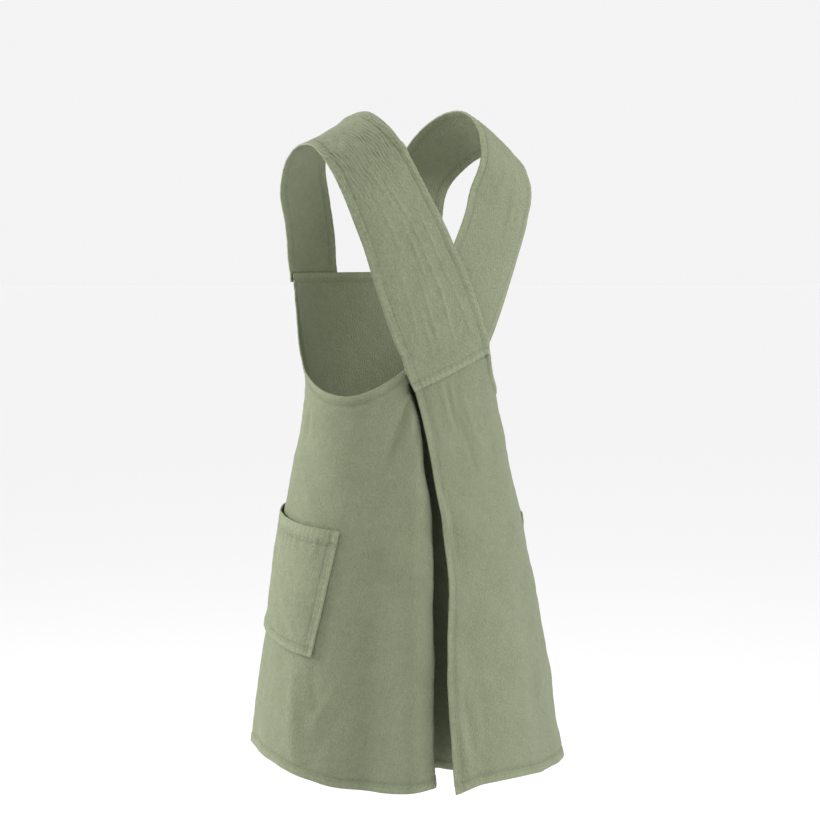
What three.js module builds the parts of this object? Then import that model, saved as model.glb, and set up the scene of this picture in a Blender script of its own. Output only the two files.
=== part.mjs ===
import * as THREE from 'three';
import { mergeVertices } from 'three/addons/utils/BufferGeometryUtils.js';

// A cross back apron in the form it has when worn, in millimetres.
// The wearer faces -Y and +X is the wearer's left. The origin lies midway between the shoulders,
// at the height where the two straps rest on them. Every piece is one closed sheet of cloth.

// Size of the worn apron.
const LENGTH = 905;
const WIDTH = 458;
const DEPTH = 378;

// Cloth wall, and the step from the middle of one cloth to the middle of the next one over it.
const CLOTH = 1.3;
const LAYER = 2.4;

// Bib.
const BIB_TOP = -220;
const BIB_HALF_ANGLE = 54;

// Shoulders: the straps ride over a rounded ridge that drops towards the arms.
const SHOULDER_FALL = 88;
const SHOULDER_ARC = 136;
const RIDGE_START = 69;
const RIDGE_RUN = 88;
const RIDGE_DROP = 49;
const LEFT_RIDGE_ROUND = 0.85;
const RIGHT_RIDGE_ROUND = 1.3;
const RIDGE_BACK = 38;
const RIDGE_LEAN = 0.17;

// Share of a strap's length over which it straightens towards its end on the bib.
const BIB_END = 0.16;

// Back wings: the left one folds in below its crest, the right one lies over it and stands off.
const LAP_START = -385;
const CREST_TURN = 7;
const FOLD_IN = 52;
const STAND_OFF = 22;
const STAND_ANGLE = 74;

// Pockets. The right one sits some degrees nearer the front than the left one.
const POCKET_BULGE = 3.0;
const RIGHT_POCKET_TURN = 6;

// Mesh density.
const BIB_COLUMNS = 11;
const ARM_COLUMNS = 34;
const WING_COLUMNS = 24;
const PANEL_ROWS = 15;
const STRAP_COLUMNS = 6;
const STRAP_ROWS = 30;
const POCKET_COLUMNS = 12;
const POCKET_ROWS = 9;

// Level sections of the body under the cloth. fall is a share of LENGTH, half a share of WIDTH,
// front and back are shares of DEPTH, square is the power of the rounded outline.
const SECTIONS = [
  { fall: 0.0000, half: 0.4367, front: 0.2646, back: 0.2646, square: 3.00 },
  { fall: 0.0552, half: 0.4367, front: 0.2698, back: 0.2698, square: 3.00 },
  { fall: 0.1215, half: 0.4258, front: 0.2778, back: 0.2751, square: 3.20 },
  { fall: 0.1657, half: 0.4039, front: 0.2831, back: 0.2910, square: 2.90 },
  { fall: 0.2099, half: 0.3821, front: 0.2910, back: 0.2963, square: 2.75 },
  { fall: 0.2541, half: 0.3603, front: 0.2963, back: 0.2910, square: 2.60 },
  { fall: 0.3425, half: 0.3275, front: 0.2963, back: 0.2672, square: 2.40 },
  { fall: 0.4088, half: 0.3057, front: 0.2963, back: 0.2381, square: 2.20 },
  { fall: 0.5193, half: 0.3450, front: 0.3333, back: 0.2857, square: 2.10 },
  { fall: 0.6298, half: 0.3886, front: 0.3836, back: 0.3519, square: 2.05 },
  { fall: 0.7735, half: 0.4367, front: 0.4286, back: 0.4233, square: 2.00 },
  { fall: 0.9061, half: 0.4760, front: 0.4656, back: 0.4762, square: 2.00 },
  { fall: 1.0000, half: 0.5000, front: 0.4921, back: 0.5079, square: 2.00 },
];

// Armhole edge from the bib's corner round to the wing's upper corner, in degrees from the front.
// share runs along the edge, fall is a share of LENGTH.
const ARMHOLE = [
  { share: 0.00, left: 54.0, leftFall: 0.2431, right: 54.0, rightFall: 0.2431 },
  { share: 0.14, left: 56.0, leftFall: 0.2983, right: 56.0, rightFall: 0.2983 },
  { share: 0.26, left: 60.5, leftFall: 0.3470, right: 60.5, rightFall: 0.3470 },
  { share: 0.36, left: 69.0, leftFall: 0.3823, right: 69.0, rightFall: 0.3823 },
  { share: 0.48, left: 83.5, leftFall: 0.4044, right: 83.5, rightFall: 0.4044 },
  { share: 0.61, left: 98.5, leftFall: 0.4188, right: 98.5, rightFall: 0.4177 },
  { share: 0.72, left: 111.0, leftFall: 0.4232, right: 110.5, rightFall: 0.4199 },
  { share: 0.82, left: 122.5, leftFall: 0.4155, right: 121.0, rightFall: 0.4088 },
  { share: 0.91, left: 136.0, leftFall: 0.3989, right: 131.5, rightFall: 0.3845 },
  { share: 1.00, left: 150.0, leftFall: 0.3768, right: 142.0, rightFall: 0.3514 },
];

// Free edges of the wings, in degrees from the front, by fall as a share of LENGTH.
const FREE_EDGES = [
  { fall: 0.4044, right: 208.0, left: 210.0 },
  { fall: 0.4475, right: 202.5, left: 209.0 },
  { fall: 0.5171, right: 197.7, left: 207.0 },
  { fall: 0.5867, right: 195.3, left: 205.5 },
  { fall: 0.6564, right: 193.8, left: 204.0 },
  { fall: 0.7204, right: 194.6, left: 203.0 },
  { fall: 0.8000, right: 197.2, left: 202.0 },
  { fall: 0.9138, right: 197.8, left: 201.0 },
  { fall: 1.0000, right: 196.8, left: 200.0 },
];

// Hem heights round the skirt, negative angles on the wearer's right. fall is a share of LENGTH.
const HEM = [
  { angle: -200, fall: 0.9950 },
  { angle: -187, fall: 0.9862 },
  { angle: -172, fall: 0.9856 },
  { angle: -147, fall: 0.9945 },
  { angle: -122, fall: 1.0000 },
  { angle: -90, fall: 0.9890 },
  { angle: -45, fall: 0.9746 },
  { angle: 0, fall: 0.9702 },
  { angle: 45, fall: 0.9624 },
  { angle: 80, fall: 0.9569 },
  { angle: 99, fall: 0.9635 },
  { angle: 111, fall: 0.9768 },
  { angle: 122, fall: 0.9890 },
  { angle: 137, fall: 0.9923 },
  { angle: 159, fall: 0.9867 },
  { angle: 201, fall: 0.9856 },
];

// Crest from which the left wing turns inwards, in degrees from the front.
const CREST = [
  { fall: 0.4144, angle: 147.0 },
  { fall: 0.4420, angle: 153.5 },
  { fall: 0.5293, angle: 158.2 },
  { fall: 0.6044, angle: 160.2 },
  { fall: 0.7193, angle: 158.7 },
  { fall: 0.9127, angle: 156.2 },
  { fall: 1.0000, angle: 156.7 },
];

// Soft upright folds of the skirt. angle and spread in degrees, start a share of LENGTH,
// height in shares of DEPTH at the hem.
const FOLDS = [
  { angle: -185, spread: 8, start: 0.47, height: -0.0080 },
  { angle: -168, spread: 11, start: 0.48, height: 0.0070 },
  { angle: -146, spread: 13, start: 0.50, height: -0.0080 },
  { angle: -118, spread: 17, start: 0.55, height: 0.0160 },
  { angle: -86, spread: 15, start: 0.52, height: -0.0090 },
  { angle: -52, spread: 17, start: 0.52, height: 0.0110 },
  { angle: -18, spread: 16, start: 0.52, height: -0.0100 },
  { angle: 16, spread: 17, start: 0.54, height: 0.0100 },
  { angle: 48, spread: 16, start: 0.54, height: -0.0080 },
  { angle: 78, spread: 13, start: 0.72, height: -0.0090 },
  { angle: 104, spread: 12, start: 0.66, height: 0.0130 },
  { angle: 128, spread: 13, start: 0.45, height: -0.0240 },
  { angle: 147, spread: 10, start: 0.46, height: 0.0170 },
];

// Left strap from the bib over the shoulder to the right wing. side is -1 before the shoulder
// ridge and 1 behind it; across is a share of WIDTH from the middle, fall a share of LENGTH.
const STRAP = [
  { along: 0.000, side: -1, innerAcross: 0.0721, innerFall: 0.2564, outerAcross: 0.2686, outerFall: 0.2564 },
  { along: 0.093, side: -1, innerAcross: 0.0895, innerFall: 0.1878, outerAcross: 0.2817, outerFall: 0.1923 },
  { along: 0.204, side: -1, innerAcross: 0.1245, innerFall: 0.1017, outerAcross: 0.3057, outerFall: 0.1182 },
  { along: 0.302, side: -1, innerAcross: 0.1550, innerFall: 0.0298, outerAcross: 0.3319, outerFall: 0.0762 },
  { along: 0.397, side: 1, innerAcross: 0.1703, innerFall: 0.0088, outerAcross: 0.3537, outerFall: 0.0569 },
  { along: 0.457, side: 1, innerAcross: 0.1692, innerFall: 0.0210, outerAcross: 0.3592, outerFall: 0.0696 },
  { along: 0.503, side: 1, innerAcross: 0.1572, innerFall: 0.0442, outerAcross: 0.3548, outerFall: 0.0917 },
  { along: 0.559, side: 1, innerAcross: 0.1310, innerFall: 0.0779, outerAcross: 0.3406, outerFall: 0.1249 },
  { along: 0.612, side: 1, innerAcross: 0.0917, innerFall: 0.1127, outerAcross: 0.3166, outerFall: 0.1586 },
  { along: 0.681, side: 1, innerAcross: 0.0459, innerFall: 0.1580, outerAcross: 0.2817, outerFall: 0.2044 },
  { along: 0.754, side: 1, innerAcross: -0.0066, innerFall: 0.2088, outerAcross: 0.2489, outerFall: 0.2504 },
  { along: 0.822, side: 1, innerAcross: -0.0568, innerFall: 0.2508, outerAcross: 0.2129, outerFall: 0.2972 },
  { along: 0.894, side: 1, innerAcross: -0.1048, innerFall: 0.2983, outerAcross: 0.1725, outerFall: 0.3444 },
  { along: 1.000, side: 1, innerAcross: -0.1670, innerFall: 0.3657, outerAcross: 0.1015, outerFall: 0.4177 },
];

// The right strap sits a little nearer the neck on the shoulder, and its lower end is tucked under.
const NECK_SHIFT = -0.018;
const TUCKED_END = { innerAcross: -0.1310, innerFall: 0.3900 };

// Patch pocket corners on the hip, in degrees from the front and falls as shares of LENGTH.
const POCKET = {
  mouthBack: { angle: 114.9, fall: 0.6188 },
  mouthFront: { angle: 54.0, fall: 0.5950 },
  footFront: { angle: 50.0, fall: 0.7646 },
  footBack: { angle: 108.3, fall: 0.8011 },
};

const COLOUR = 0x959c80;

// Reads a table as smooth functions of one of its columns.
function smoothTable(rows, key) {
  const names = Object.keys(rows[0]).filter((name) => name !== key);
  const positions = rows.map((row) => row[key]);
  const samples = rows.flatMap((row) => names.map((name) => row[name]));
  const track = new THREE.CubicInterpolant(positions, samples, names.length);
  return (value) => {
    const inside = THREE.MathUtils.clamp(value, positions[0], positions[positions.length - 1]);
    const found = track.evaluate(inside);
    return Object.fromEntries(names.map((name, index) => [name, found[index]]));
  };
}

const sectionAt = smoothTable(SECTIONS, 'fall');
const armholeAt = smoothTable(ARMHOLE, 'share');
const freeEdgeAt = smoothTable(FREE_EDGES, 'fall');
const hemAt = smoothTable(HEM, 'angle');
const crestAt = smoothTable(CREST, 'fall');
const strapAt = smoothTable(STRAP, 'along');

const { lerp, smoothstep, clamp, degToRad } = THREE.MathUtils;

// Distance of the body's surface from the upright axis, by angle from the front and height.
function bodyRadius(angle, height) {
  const row = sectionAt(-height / LENGTH);
  const turn = degToRad(angle);
  const depth = (Math.cos(turn) > 0 ? row.front : row.back) * DEPTH;
  const across = Math.abs(Math.sin(turn) / (row.half * WIDTH)) ** row.square;
  const along = Math.abs(Math.cos(turn) / depth) ** row.square;
  return (across + along) ** (-1 / row.square);
}

// Distance of the back or front surface from the middle plane, by distance across and height.
function bodyDepth(x, height, side) {
  const row = sectionAt(-height / LENGTH);
  const depth = (side < 0 ? row.front : row.back) * DEPTH;
  const share = Math.min(Math.abs(x) / (row.half * WIDTH), 1);
  return depth * (1 - share ** row.square) ** (1 / row.square);
}

// Height of all soft folds together at one place of the skirt.
function foldsAt(angle, height) {
  let total = 0;
  for (const fold of FOLDS) {
    const away = Math.abs(angle - fold.angle) / fold.spread;
    if (away < 1) {
      const grown = smoothstep(-height / LENGTH, fold.start, 1.06);
      total += fold.height * DEPTH * grown * (0.5 + 0.5 * Math.cos(Math.PI * away));
    }
  }
  return total;
}

// How far the lapping wings leave the body: the left one folds in, the right one stands off.
function lapOffset(angle, height) {
  const down = clamp((LAP_START - height) / (LENGTH + LAP_START), 0, 1);
  const fall = -height / LENGTH;
  if (angle > 90) {
    const turned = smoothstep(angle, crestAt(fall).angle, crestAt(fall).angle + CREST_TURN);
    return -FOLD_IN * down ** 0.6 * turned;
  }
  if (angle < -90) {
    const near = clamp(1 - (freeEdgeAt(fall).right + angle) / STAND_ANGLE, 0, 1);
    return STAND_OFF * down ** 0.75 * near ** 1.6;
  }
  return 0;
}

// Where the right wing lies over the left wing and the end of the right strap.
function wingLayer(angle) {
  return 2 * LAYER * smoothstep(-angle, 104, 134);
}

// A point of the skirt's and bib's cloth, moved out by whole layers where it lies over others.
function clothPoint(angle, height, outward) {
  const radius = bodyRadius(angle, height) + foldsAt(angle, height) + lapOffset(angle, height);
  const turn = degToRad(angle);
  const reach = radius + outward;
  return new THREE.Vector3(reach * Math.sin(turn), -reach * Math.cos(turn), height);
}

// Turns a surface into one closed sheet of cloth by bending a flat box with many segments.
function clothSheet(columns, rows, place) {
  const step = 1e-4;
  const box = new THREE.BoxGeometry(1, 1, 1, columns, rows, 1);
  const spots = box.attributes.position;
  for (let index = 0; index < spots.count; index += 1) {
    const u = spots.getX(index) + 0.5;
    const v = spots.getY(index) + 0.5;
    const alongU = place(Math.min(u + step, 1), v).sub(place(Math.max(u - step, 0), v));
    const alongV = place(u, Math.min(v + step, 1)).sub(place(u, Math.max(v - step, 0)));
    const normal = alongU.cross(alongV).normalize();
    const spot = place(u, v).addScaledVector(normal, spots.getZ(index) * CLOTH);
    spots.setXYZ(index, spot.x, spot.y, spot.z);
  }
  box.deleteAttribute('normal');
  box.deleteAttribute('uv');
  const sheet = mergeVertices(box, 1e-5);
  sheet.clearGroups();
  sheet.computeVertexNormals();
  return sheet;
}

// One wrapped cloth: bib, skirt and both back wings. u runs from the right wing's free edge
// round the front to the left wing's free edge, v from the hem up to the top edge.
function panelPlace(u, v) {
  const half = BIB_COLUMNS + ARM_COLUMNS + WING_COLUMNS;
  const column = (u - 0.5) * 2 * half;
  const side = column < 0 ? -1 : 1;
  const name = side < 0 ? 'right' : 'left';
  const count = Math.abs(column);
  const down = (1 - v) ** 1.4;
  const corner = armholeAt(1);
  const cornerHem = 148;
  const bibHem = 52;
  let angle;
  let top;
  let hemAngle;
  if (count <= BIB_COLUMNS) {
    const share = count / BIB_COLUMNS;
    top = BIB_TOP;
    hemAngle = share * bibHem;
    angle = lerp(share * BIB_HALF_ANGLE, hemAngle, down);
  } else if (count <= BIB_COLUMNS + ARM_COLUMNS) {
    const share = (count - BIB_COLUMNS) / ARM_COLUMNS;
    const edge = armholeAt(share);
    top = -edge[`${name}Fall`] * LENGTH;
    hemAngle = lerp(bibHem, cornerHem, share);
    angle = lerp(edge[name], hemAngle, down);
  } else {
    const share = (count - BIB_COLUMNS - ARM_COLUMNS) / WING_COLUMNS;
    const lowFall = FREE_EDGES[0].fall;
    top = -lerp(corner[`${name}Fall`], lowFall, share) * LENGTH;
    hemAngle = lerp(cornerHem, freeEdgeAt(1)[name], share);
  }
  const hem = -hemAt(side * hemAngle).fall * LENGTH;
  const height = lerp(top, hem, down);
  if (angle === undefined) {
    const share = (count - BIB_COLUMNS - ARM_COLUMNS) / WING_COLUMNS;
    const inner = lerp(corner[name], cornerHem, down);
    angle = lerp(inner, freeEdgeAt(-height / LENGTH)[name], share);
  }
  return clothPoint(side * angle, height, wingLayer(side * angle));
}

// A place on the yoke by distance across and length over the shoulder, negative in front.
// round is the power of the ridge's drop towards the arm.
function yokePoint(x, reach, round) {
  const run = Math.max((Math.abs(x) - RIDGE_START) / RIDGE_RUN, 0);
  const turn = Math.min(Math.abs(reach) / SHOULDER_ARC, 1) * Math.PI / 2;
  const fall = SHOULDER_FALL * (1 - Math.cos(turn)) + Math.max(Math.abs(reach) - SHOULDER_ARC, 0);
  const height = -RIDGE_DROP * run ** round - fall;
  const side = reach < 0 ? -1 : 1;
  const ridge = RIDGE_BACK - RIDGE_LEAN * Math.abs(x);
  const y = ridge + (side * bodyDepth(x, height, side) - ridge) * Math.sin(turn);
  return new THREE.Vector3(x, y, height);
}

// The length over the shoulder at which the yoke reaches a given height.
function reachAt(x, height, side, round) {
  const run = Math.max((Math.abs(x) - RIDGE_START) / RIDGE_RUN, 0);
  const fall = Math.max(-height - RIDGE_DROP * run ** round, 0);
  if (fall > SHOULDER_FALL) {
    return side * (SHOULDER_ARC + fall - SHOULDER_FALL);
  }
  return side * SHOULDER_ARC * Math.acos(1 - fall / SHOULDER_FALL) / (Math.PI / 2);
}

// The stations of a strap as lengths over the shoulder, so that they pass smoothly over it.
function strapLines(rows, round) {
  const lines = rows.map((row) => {
    const innerX = row.innerAcross * WIDTH;
    const outerX = row.outerAcross * WIDTH;
    return {
      along: row.along,
      innerX,
      innerReach: reachAt(innerX, -row.innerFall * LENGTH, row.side, round),
      outerX,
      outerReach: reachAt(outerX, -row.outerFall * LENGTH, row.side, round),
    };
  });
  return smoothTable(lines, 'along');
}

// A strap: u from the neck side to the arm side, v from the wing's seam back to the bib, where
// it ends straight across. layersAt gives the number of layers it lies above along its length.
function strapPlace(side, rows, round, layersAt) {
  const lineAt = strapLines(rows, round);
  return (u, v) => {
    const along = 1 - v;
    const line = lineAt(along);
    const x = lerp(line.innerX, line.outerX, u);
    const even = lerp(line.innerReach, line.outerReach, u);
    const innerHeight = yokePoint(line.innerX, line.innerReach, round).z;
    const outerHeight = yokePoint(line.outerX, line.outerReach, round).z;
    const bow = yokePoint(x, even, round).z - lerp(innerHeight, outerHeight, u);
    const reach = even - bow * (1 - smoothstep(along, 0, BIB_END));
    const step = 0.05;
    const alongX = yokePoint(x + step, reach, round).sub(yokePoint(x - step, reach, round));
    const alongReach = yokePoint(x, reach + step, round).sub(yokePoint(x, reach - step, round));
    const normal = alongX.cross(alongReach).normalize();
    const spot = yokePoint(x, reach, round);
    spot.addScaledVector(normal, layersAt(along) * LAYER);
    spot.x *= side;
    return spot;
  };
}

// A patch pocket on the hip: u from its back edge to its front edge, v from the foot to the mouth.
function pocketPlace(side) {
  return (u, v) => {
    const mouth = { angle: lerp(POCKET.mouthBack.angle, POCKET.mouthFront.angle, u),
      fall: lerp(POCKET.mouthBack.fall, POCKET.mouthFront.fall, u) };
    const foot = { angle: lerp(POCKET.footBack.angle, POCKET.footFront.angle, u),
      fall: lerp(POCKET.footBack.fall, POCKET.footFront.fall, u) };
    const angle = lerp(foot.angle, mouth.angle, v) - (side < 0 ? RIGHT_POCKET_TURN : 0);
    const height = -lerp(foot.fall, mouth.fall, v) * LENGTH;
    const full = Math.sin(Math.PI * u) ** 0.7 * v ** 2;
    return clothPoint(side * angle, height, wingLayer(side * angle) + LAYER + POCKET_BULGE * full);
  };
}

function cloth(name, geometry) {
  const material = new THREE.MeshStandardMaterial({ color: COLOUR, roughness: 0.92, metalness: 0 });
  const mesh = new THREE.Mesh(geometry, material);
  mesh.name = name;
  return mesh;
}

const apron = new THREE.Group();
apron.name = 'cross_back_apron';

// The left strap climbs over the right one and then over the right wing.
const overCrossing = (along) => 1 + smoothstep(along, 0.42, 0.64) + smoothstep(along, 0.80, 0.93);
const underCrossing = () => 1;
const rightStrap = STRAP.map((row) => {
  const near = smoothstep(row.along, 0.25, 0.42) * (1 - smoothstep(row.along, 0.50, 0.70));
  const end = row.along === 1 ? TUCKED_END : {};
  return { ...row, innerAcross: row.innerAcross + NECK_SHIFT * near, ...end };
});

const panelColumns = 2 * (BIB_COLUMNS + ARM_COLUMNS + WING_COLUMNS);
apron.add(cloth('body_panel', clothSheet(panelColumns, PANEL_ROWS, panelPlace)));
const leftPlace = strapPlace(1, STRAP, LEFT_RIDGE_ROUND, overCrossing);
apron.add(cloth('strap_left', clothSheet(STRAP_COLUMNS, STRAP_ROWS, leftPlace)));
const rightPlace = strapPlace(-1, rightStrap, RIGHT_RIDGE_ROUND, underCrossing);
apron.add(cloth('strap_right', clothSheet(STRAP_COLUMNS, STRAP_ROWS, rightPlace)));
apron.add(cloth('pocket_left', clothSheet(POCKET_COLUMNS, POCKET_ROWS, pocketPlace(1))));
apron.add(cloth('pocket_right', clothSheet(POCKET_COLUMNS, POCKET_ROWS, pocketPlace(-1))));

export default apron;
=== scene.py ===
import math
import bpy
import numpy as np
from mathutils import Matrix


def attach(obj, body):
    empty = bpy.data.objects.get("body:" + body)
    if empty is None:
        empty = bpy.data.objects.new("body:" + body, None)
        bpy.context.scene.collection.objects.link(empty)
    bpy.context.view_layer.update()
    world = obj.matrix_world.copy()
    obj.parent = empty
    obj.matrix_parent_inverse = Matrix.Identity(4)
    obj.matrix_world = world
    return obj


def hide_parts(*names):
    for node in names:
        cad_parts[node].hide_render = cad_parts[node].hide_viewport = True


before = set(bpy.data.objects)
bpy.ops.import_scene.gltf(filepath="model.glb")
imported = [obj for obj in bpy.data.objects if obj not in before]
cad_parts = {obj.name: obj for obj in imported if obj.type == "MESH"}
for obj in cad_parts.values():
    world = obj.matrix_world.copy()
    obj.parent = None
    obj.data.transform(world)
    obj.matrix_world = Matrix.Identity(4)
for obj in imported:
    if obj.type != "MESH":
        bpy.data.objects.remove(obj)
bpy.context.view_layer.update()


# The photograph's place and light: the apron is seen from behind and a little from its left, from
# chest height and nearly three metres away, in a white studio with broad soft lamps on both sides.
picture_pixels = 820.0
focal_pixels = 1982.0
axis_pixel = 403.5
horizon_pixel = 244.0
camera_distance = 2.75
camera_height = -0.18
camera_data = bpy.data.cameras.new("studio_camera")
camera_data.sensor_width = 36.0
camera_data.lens = focal_pixels / picture_pixels * 36.0
camera_data.clip_end = 60.0
camera = bpy.data.objects.new("studio_camera", camera_data)
bpy.context.scene.collection.objects.link(camera)
bpy.context.scene.camera = camera
camera_turn = math.radians(145.0)
camera_pan = math.atan((picture_pixels / 2 - axis_pixel) / focal_pixels)
camera_tilt = math.atan((picture_pixels / 2 - horizon_pixel) / focal_pixels)
camera.location = (
    math.sin(camera_turn) * camera_distance,
    -math.cos(camera_turn) * camera_distance,
    camera_height,
)
camera.rotation_euler = (math.pi / 2 - camera_tilt, 0.0, camera_turn - camera_pan)

bpy.ops.mesh.primitive_plane_add(size=120.0, location=(0.0, 0.0, -1.42))
floor = bpy.context.object
floor.name = "studio_floor"
floor_paint = bpy.data.materials.new("pale_floor")
floor_paint.use_nodes = True
floor_shader = floor_paint.node_tree.nodes["Principled BSDF"]
floor_shader.inputs["Base Color"].default_value = (0.50, 0.50, 0.50, 1.0)
floor_shader.inputs["Roughness"].default_value = 0.9
floor_shader.inputs["Specular IOR Level"].default_value = 0.1
floor_shader.inputs["Emission Color"].default_value = (1.0, 1.0, 1.0, 1.0)
floor_shader.inputs["Emission Strength"].default_value = 0.44
floor.data.materials.append(floor_paint)

bpy.context.scene.view_settings.view_transform = "Standard"
studio = bpy.data.worlds.new("white_studio")
bpy.context.scene.world = studio
studio.use_nodes = True
studio.node_tree.nodes["Background"].inputs["Color"].default_value = (1.0, 1.0, 1.0, 1.0)
studio.node_tree.nodes["Background"].inputs["Strength"].default_value = 0.9


aim_height = -0.45


def soft_lamp(name, turn, height, distance, size, power):
    """A square studio lamp that looks at the middle of the apron."""
    lamp_data = bpy.data.lights.new(name, "AREA")
    lamp_data.shape = "SQUARE"
    lamp_data.size = size
    lamp_data.energy = power
    lamp = bpy.data.objects.new(name, lamp_data)
    bpy.context.scene.collection.objects.link(lamp)
    angle = math.radians(turn)
    lamp.location = (math.sin(angle) * distance, -math.cos(angle) * distance, height)
    lean = math.atan2(height - aim_height, distance)
    lamp.rotation_euler = (math.pi / 2 - lean, 0.0, angle)


soft_lamp("left_softbox", 52.0, 0.55, 2.6, 1.2, 84.0)
soft_lamp("right_softbox", 222.0, 0.95, 2.6, 1.5, 60.0)


# Body panel: one wide piece of washed cotton cloth that makes the bib, the skirt and both back
# wings. Its edges are turned in twice and sewn down; it hangs from the straps, flares to the hem,
# and its right wing laps over the left one, which folds in under it.
LENGTH = 0.905
WIDTH = 0.458
DEPTH = 0.378
CLOTH = 0.0013
HEM_THICKNESS = 0.0021
LAYER = 0.0024
BIB_TOP = -0.220
BIB_HALF_ANGLE = 54.0
LAP_START = -0.385
CREST_TURN = 7.0
FOLD_IN = 0.052
STAND_OFF = 0.022
STAND_ANGLE = 74.0
TUCK = 0.034
TUCK_START = 0.386
TUCK_FULL = 0.412
TUCK_TURN = 12.0
APRON_MIDDLE = (0.0, 0.0, -0.30)
HEM = 0.010
HEM_BORDER = 0.0125
STITCH_INSET = 0.0020
PUCKER_PITCH = 0.0085

# The panel's half width in columns of cloth, and the angles at which its parts' borders meet the hem.
BIB_COLUMNS = 11
ARMHOLE_COLUMNS = 34
WING_COLUMNS = 24
BIB_HEM_ANGLE = 52
WING_HEM_ANGLE = 148

# Level sections: fall, half width, front depth, back depth, squareness of the rounded outline.
section_rows = [
    (0.0000, 0.4367, 0.2646, 0.2646, 3.00),
    (0.0552, 0.4367, 0.2698, 0.2698, 3.00),
    (0.1215, 0.4258, 0.2778, 0.2751, 3.20),
    (0.1657, 0.4039, 0.2831, 0.2910, 2.90),
    (0.2099, 0.3821, 0.2910, 0.2963, 2.75),
    (0.2541, 0.3603, 0.2963, 0.2910, 2.60),
    (0.3425, 0.3275, 0.2963, 0.2672, 2.40),
    (0.4088, 0.3057, 0.2963, 0.2381, 2.20),
    (0.5193, 0.3450, 0.3333, 0.2857, 2.10),
    (0.6298, 0.3886, 0.3836, 0.3519, 2.05),
    (0.7735, 0.4367, 0.4286, 0.4233, 2.00),
    (0.9061, 0.4760, 0.4656, 0.4762, 2.00),
    (1.0000, 0.5000, 0.4921, 0.5079, 2.00),
]
# Armhole edge: share along it, left angle, left fall, right angle, right fall.
armhole_rows = [
    (0.00, 54.0, 0.2431, 54.0, 0.2431),
    (0.14, 56.0, 0.2983, 56.0, 0.2983),
    (0.26, 60.5, 0.3470, 60.5, 0.3470),
    (0.36, 69.0, 0.3823, 69.0, 0.3823),
    (0.48, 83.5, 0.4044, 83.5, 0.4044),
    (0.61, 98.5, 0.4188, 98.5, 0.4177),
    (0.72, 111.0, 0.4232, 110.5, 0.4199),
    (0.82, 122.5, 0.4155, 121.0, 0.4088),
    (0.91, 136.0, 0.3989, 131.5, 0.3845),
    (1.00, 150.0, 0.3768, 142.0, 0.3514),
]
# Free edges of the wings: fall, right angle, left angle.
free_edge_rows = [
    (0.4044, 208.0, 210.0),
    (0.4475, 202.5, 209.0),
    (0.5171, 197.7, 207.0),
    (0.5867, 195.3, 205.5),
    (0.6564, 193.8, 204.0),
    (0.7204, 194.6, 203.0),
    (0.8000, 197.2, 202.0),
    (0.9138, 197.8, 201.0),
    (1.0000, 196.8, 200.0),
]
# Hem line: angle, fall.
hem_rows = [
    (-200, 0.9950), (-187, 0.9862), (-172, 0.9856), (-147, 0.9945), (-122, 1.0000), (-90, 0.9890),
    (-45, 0.9746), (0, 0.9702), (45, 0.9624), (80, 0.9569), (99, 0.9635), (111, 0.9768),
    (122, 0.9890), (137, 0.9923), (159, 0.9867), (201, 0.9856),
]
# Crest from which the left wing turns in: fall, angle.
crest_rows = [
    (0.4144, 147.0), (0.4420, 153.5), (0.5293, 158.2), (0.6044, 160.2), (0.7193, 158.7),
    (0.9127, 156.2), (1.0000, 156.7),
]
# Soft upright folds of the skirt: angle, spread, start, height.
fold_rows = [
    (-185, 8, 0.47, -0.0080), (-168, 11, 0.48, 0.0070), (-146, 13, 0.50, -0.0080),
    (-118, 17, 0.55, 0.0160), (-86, 15, 0.52, -0.0090), (-52, 17, 0.52, 0.0110),
    (-18, 16, 0.52, -0.0100), (16, 17, 0.54, 0.0100), (48, 16, 0.54, -0.0080),
    (78, 13, 0.72, -0.0090), (104, 12, 0.66, 0.0130), (128, 13, 0.45, -0.0240),
    (147, 10, 0.46, 0.0170),
]
# The folds beside the lap as they hang: angle, spread, start, full growth, height.
draped_rows = [
    (101, 16, 0.52, 0.70, 0.0100),
    (128, 15, 0.43, 0.60, -0.0200),
    (151, 13, 0.43, 0.58, 0.0190),
    (-150, 16, 0.50, 0.80, 0.0060),
]


def smooth_rows(rows):
    """Reads a table as smooth functions of its first column."""
    table = np.array(rows, float)
    places, values = table[:, 0], table[:, 1:]

    def read(at):
        at = np.clip(np.asarray(at, float), places[0], places[-1])
        upper = np.clip(np.searchsorted(places, at, side="right"), 1, len(places) - 1)
        lower = upper - 1
        before = np.where(lower > 0, lower - 1, upper)
        after = np.where(upper < len(places) - 1, upper + 1, lower)
        start, end = places[lower], places[upper]
        half = (end - start) * 0.5
        w0 = (half / (start - places[before]))[..., None]
        w1 = (half / (places[after] - end))[..., None]
        p = ((at - start) / (end - start))[..., None]
        p2, p3 = p * p, p * p * p
        return (
            (-w0 * p3 + 2 * w0 * p2 - w0 * p) * values[before]
            + ((1 + w0) * p3 + (-1.5 - 2 * w0) * p2 + (-0.5 + w0) * p + 1) * values[lower]
            + ((-1 - w1) * p3 + (1.5 + w1) * p2 + 0.5 * p) * values[upper]
            + (w1 * p3 - w1 * p2) * values[after]
        )

    return read


section_at = smooth_rows(section_rows)
armhole_at = smooth_rows(armhole_rows)
free_edge_at = smooth_rows(free_edge_rows)
hem_at = smooth_rows(hem_rows)
crest_at = smooth_rows(crest_rows)


def ease(value, low, high):
    """Goes smoothly from 0 at low to 1 at high."""
    share = np.clip((value - low) / (high - low), 0.0, 1.0)
    return share * share * (3 - 2 * share)


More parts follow.
